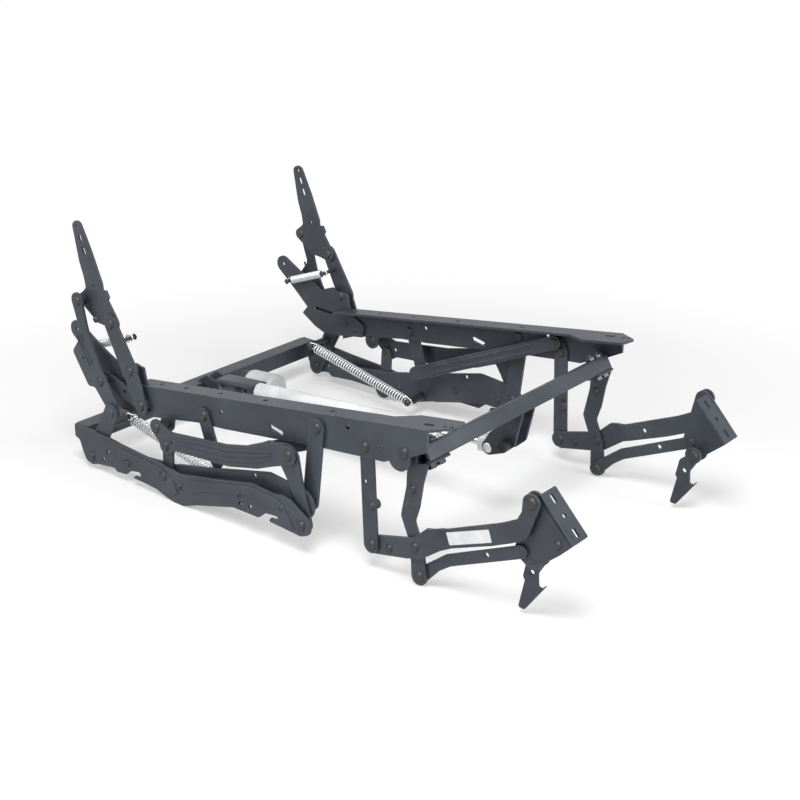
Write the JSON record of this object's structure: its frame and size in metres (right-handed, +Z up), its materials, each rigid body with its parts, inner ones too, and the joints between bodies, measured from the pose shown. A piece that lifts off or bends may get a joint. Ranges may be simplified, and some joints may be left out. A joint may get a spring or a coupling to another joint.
{
  "type": "recliner mechanism",
  "caption": "Recliner chair mechanism with two stamped side linkages, cross tubes, a linear actuator and return springs.",
  "frame": {"origin": "on the floor, below the middle of the length, midway between the two sides", "axes": "+X forward to the footrest, +Y to the left side, +Z up"},
  "size_m": [0.941, 0.5442, 0.402],
  "materials": {
    "grey_paint": "satin powder coat",
    "black_steel": "semi-gloss black",
    "spring_steel": "zinc plated wire",
    "zinc_steel": "zinc plated",
    "red_plastic": "moulded washer",
    "motor_grey": "moulded housing",
    "white_tube": "white paint"
  },
  "bodies": {
    "base": {"base_plate_left": "grey_paint", "base_plate_right": "grey_paint", "inner_base_plate_left": "grey_paint", "inner_base_plate_right": "grey_paint", "rear_cross_tube": "grey_paint", "actuator_bracket": "grey_paint", "base_pins": "black_steel"},
    "carrier_links": {"carrier_link_left": "grey_paint", "carrier_link_right": "grey_paint"},
    "seat_frame": {"rail_left": "grey_paint", "rail_right": "grey_paint", "back_plate_left": "grey_paint", "back_plate_right": "grey_paint", "rail_pins": "black_steel"},
    "levers": {"lever_left": "grey_paint", "lever_right": "grey_paint", "lever_pins": "black_steel"},
    "lever_arms": {"lever_arms": "grey_paint"},
    "end_links": {"end_links": "grey_paint"},
    "rear_base_links": {"rear_base_links": "grey_paint"},
    "front_links": {"front_link_left": "grey_paint", "front_link_right": "grey_paint", "front_cross_tube": "grey_paint", "clevis_bracket": "grey_paint", "tube_bolts": "zinc_steel", "clevis_pin": "zinc_steel", "front_link_pins": "black_steel", "pivot_washers": "red_plastic"},
    "rear_links": {"rear_link_left": "grey_paint", "rear_link_right": "grey_paint", "rear_link_pins": "black_steel"},
    "ottoman_arms": {"ottoman_arm_left": "grey_paint", "ottoman_arm_right": "grey_paint", "arm_pins": "black_steel"},
    "lower_arms": {"lower_arm_left": "grey_paint", "lower_arm_right": "grey_paint"},
    "footrest_brackets": {"footrest_bracket_left": "grey_paint", "footrest_bracket_right": "grey_paint", "bracket_pins": "black_steel"},
    "claws": {"claw_left": "grey_paint", "claw_right": "grey_paint"},
    "drive_links": {"drive_link_left": "grey_paint", "drive_link_right": "grey_paint"},
    "toggle_links": {"toggle_links": "grey_paint"},
    "uprights": {"upright_left": "grey_paint", "upright_right": "grey_paint", "upright_pins": "black_steel", "small_springs": "spring_steel"},
    "blades": {"blade_left": "grey_paint", "blade_right": "grey_paint"},
    "control_links": {"control_link_left": "grey_paint", "control_link_right": "grey_paint", "control_pins": "black_steel", "large_spring_left": "spring_steel", "large_spring_right": "spring_steel"},
    "diagonal_links": {"diagonal_links": "grey_paint"},
    "actuator_housing": {"actuator_motor": "motor_grey", "actuator_tube": "white_tube"},
    "actuator_rod": {"actuator_rod": "zinc_steel"}
  },
  "joints": [
    {"name": "footrest_extend", "type": "hinge", "parent": "seat_frame", "child": "front_links", "pos_m": [0.2195, 0, 0.197], "axis": [0, -1, 0], "range_deg": [-34, 60]},
    {"name": "back_recline", "type": "hinge", "parent": "seat_frame", "child": "uprights", "pos_m": [-0.3175, 0, 0.183], "axis": [0, -1, 0], "range_deg": [-3, 20], "deforming": ["large_spring_left", "large_spring_right", "small_springs"]},
    {"name": "carrier_swing", "type": "hinge", "parent": "base", "child": "carrier_links", "pos_m": [0.0535, 0, 0.077], "axis": [0, -1, 0], "range_deg": [-7.7, 4.58]},
    {"name": "seat_level", "type": "hinge", "parent": "carrier_links", "child": "seat_frame", "pos_m": [0.0685, 0, 0.193], "axis": [0, -1, 0], "range_deg": [-4.58, 7.7]},
    {"name": "rear_link_pivot", "type": "hinge", "parent": "seat_frame", "child": "rear_links", "pos_m": [0.1515, 0, 0.1865], "axis": [0, -1, 0], "range_deg": [-32.2, 56.45]},
    {"name": "ottoman_arm_pivot", "type": "hinge", "parent": "front_links", "child": "ottoman_arms", "pos_m": [0.2315, 0, 0.059], "axis": [0, -1, 0], "range_deg": [-54.17, 30.91]},
    {"name": "lower_arm_pivot", "type": "hinge", "parent": "front_links", "child": "lower_arms", "pos_m": [0.2355, 0, 0.013], "axis": [0, -1, 0], "range_deg": [-59.4, 33.87]},
    {"name": "bracket_pivot", "type": "hinge", "parent": "ottoman_arms", "child": "footrest_brackets", "pos_m": [0.4125, 0, 0.1795], "axis": [0, -1, 0], "range_deg": [-21, 36.67]},
    {"name": "claw_pivot", "type": "hinge", "parent": "footrest_brackets", "child": "claws", "pos_m": [0.4125, 0, 0.095], "axis": [0, -1, 0], "range_deg": [-30.5, 17.5]},
    {"name": "drive_link_pivot", "type": "hinge", "parent": "rear_links", "child": "drive_links", "pos_m": [0.1435, 0, 0.203], "axis": [0, -1, 0], "range_deg": [-57.6, 32.85]},
    {"name": "toggle_pivot", "type": "hinge", "parent": "seat_frame", "child": "toggle_links", "pos_m": [-0.16, 0, 0.15], "axis": [0, -1, 0], "range_deg": [-12.06, 7.05]},
    {"name": "lever_pivot", "type": "hinge", "parent": "seat_frame", "child": "levers", "pos_m": [-0.2475, 0, 0.113], "axis": [0, -1, 0], "range_deg": [-1.12, 1.59]},
    {"name": "lever_arm_pivot", "type": "hinge", "parent": "levers", "child": "lever_arms", "pos_m": [-0.2285, 0, 0.088], "axis": [0, -1, 0], "range_deg": [-18.75, 10.84]},
    {"name": "end_link_pivot", "type": "hinge", "parent": "levers", "child": "end_links", "pos_m": [0.0295, 0, 0.146], "axis": [0, -1, 0], "range_deg": [-9.52, 5.61]},
    {"name": "motor_pivot", "type": "hinge", "parent": "base", "child": "actuator_housing", "pos_m": [-0.3235, 0, 0.076], "axis": [0, -1, 0], "range_deg": [-2.16, 1.44]},
    {"name": "rod_slide", "type": "slide", "parent": "actuator_housing", "child": "actuator_rod", "axis": [0.9964, 0, 0.0848], "range_m": [-0.052, 0.091]},
    {"name": "rear_base_pivot", "type": "hinge", "parent": "base", "child": "rear_base_links", "pos_m": [-0.4055, 0, 0.021], "axis": [0, -1, 0], "range_deg": [-18.7, 3.23]},
    {"name": "blade_pivot", "type": "hinge", "parent": "uprights", "child": "blades", "pos_m": [-0.3545, 0, 0.252], "axis": [0, -1, 0], "range_deg": [-1.77, 8.98]},
    {"name": "control_pivot", "type": "hinge", "parent": "blades", "child": "control_links", "pos_m": [-0.4195, 0, 0.278], "axis": [0, -1, 0], "range_deg": [-9.34, 1.83]},
    {"name": "diagonal_pivot", "type": "hinge", "parent": "uprights", "child": "diagonal_links", "pos_m": [-0.2965, 0, 0.131], "axis": [0, -1, 0], "range_deg": [-1.56, 7.57]}
  ],
  "couplings": [
    {"joint": "carrier_swing", "follows": "footrest_extend", "ratio": -0.12},
    {"joint": "seat_level", "follows": "footrest_extend", "ratio": 0.12},
    {"joint": "rear_link_pivot", "follows": "footrest_extend", "ratio": 0.9325},
    {"joint": "ottoman_arm_pivot", "follows": "footrest_extend", "ratio": -0.8945},
    {"joint": "lower_arm_pivot", "follows": "footrest_extend", "ratio": -0.9816},
    {"joint": "bracket_pivot", "follows": "footrest_extend", "ratio": 0.6029},
    {"joint": "claw_pivot", "follows": "footrest_extend", "ratio": -0.5},
    {"joint": "drive_link_pivot", "follows": "footrest_extend", "ratio": -0.9516},
    {"joint": "toggle_pivot", "follows": "footrest_extend", "ratio": -0.1926},
    {"joint": "lever_pivot", "follows": "footrest_extend", "ratio": 0.0181},
    {"joint": "lever_arm_pivot", "follows": "footrest_extend", "ratio": -0.3041},
    {"joint": "end_link_pivot", "follows": "footrest_extend", "ratio": -0.1503},
    {"joint": "motor_pivot", "follows": "footrest_extend", "ratio": -0.0277},
    {"joint": "rod_slide", "follows": "footrest_extend", "m_per_rad": 0.0859},
    {"joint": "rear_base_pivot", "follows": "back_recline", "ratio": -0.91},
    {"joint": "blade_pivot", "follows": "back_recline", "ratio": 0.4241},
    {"joint": "control_pivot", "follows": "back_recline", "ratio": -0.4418},
    {"joint": "diagonal_pivot", "follows": "back_recline", "ratio": 0.3534}
  ]
}
